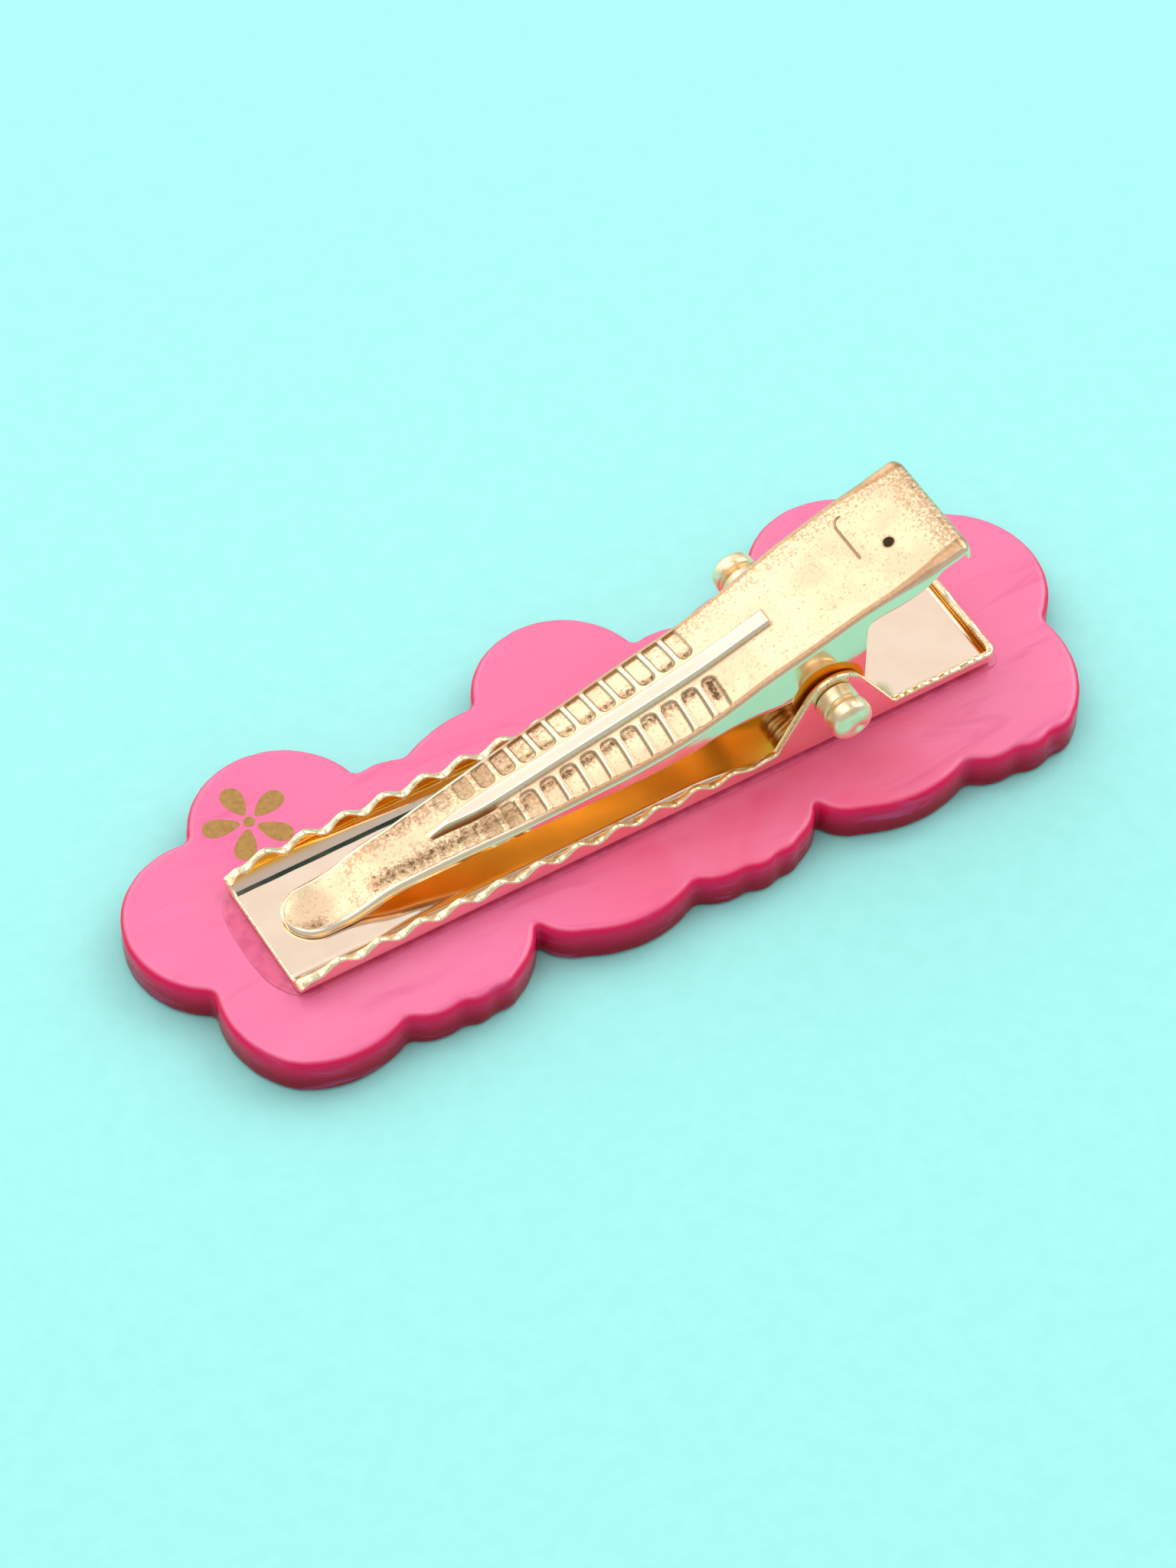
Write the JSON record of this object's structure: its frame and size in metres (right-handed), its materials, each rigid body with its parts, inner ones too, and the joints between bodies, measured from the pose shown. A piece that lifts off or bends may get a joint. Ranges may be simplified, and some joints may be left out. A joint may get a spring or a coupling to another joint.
{
  "type": "alligator hair clip",
  "caption": "Sprung single-prong metal alligator hair clip with toothed lower jaw, glued to the back of a scalloped cloud-shaped acetate plate.",
  "frame": {"origin": "middle of the plate's box, on the front face that it lies on", "axes": "+X along the clip from the prong's nose to the handle, +Y across it, +Z out of the plate's back towards the clip"},
  "size_m": [0.0708, 0.0272, 0.0169],
  "materials": {
    "pink_acetate": "Pearly pink cellulose acetate, softly mottled, polished faces with a dark crimson edge.",
    "clear_glue": "Clear cured contact glue, glossy where it squeezes out past the clip.",
    "gold_plated_steel": "Bright pale gold plating on pressed steel, mirror smooth inside the channel.",
    "worn_gold_plate": "Pale champagne gold plating, matte and speckled with brown tarnish, worn along edges and ribs.",
    "gold_rivet": "Bright gold plated rivet, polished domed heads.",
    "gold_foil": "Matte old-gold foil, hot pressed on the acetate.",
    "spring_steel": "Spring wire plated pale gold with the rest of the clip, slightly dull."
  },
  "bodies": {
    "base": {"ornament_plate": "pink_acetate", "adhesive_pad": "clear_glue", "base_channel": "gold_plated_steel", "hinge_pin": "gold_rivet", "torsion_spring": "spring_steel"},
    "prong": {"lever": "worn_gold_plate"}
  },
  "joints": [
    {"name": "lever_hinge", "type": "hinge", "parent": "base", "child": "prong", "pos_m": [0.01383, -0.00105, 0.0084], "axis": [0, 1, 0], "range_deg": [0, 40], "stiffness_Nm_per_rad": 0.05, "springref_deg": -20.05, "deforming": ["torsion_spring"]}
  ]
}
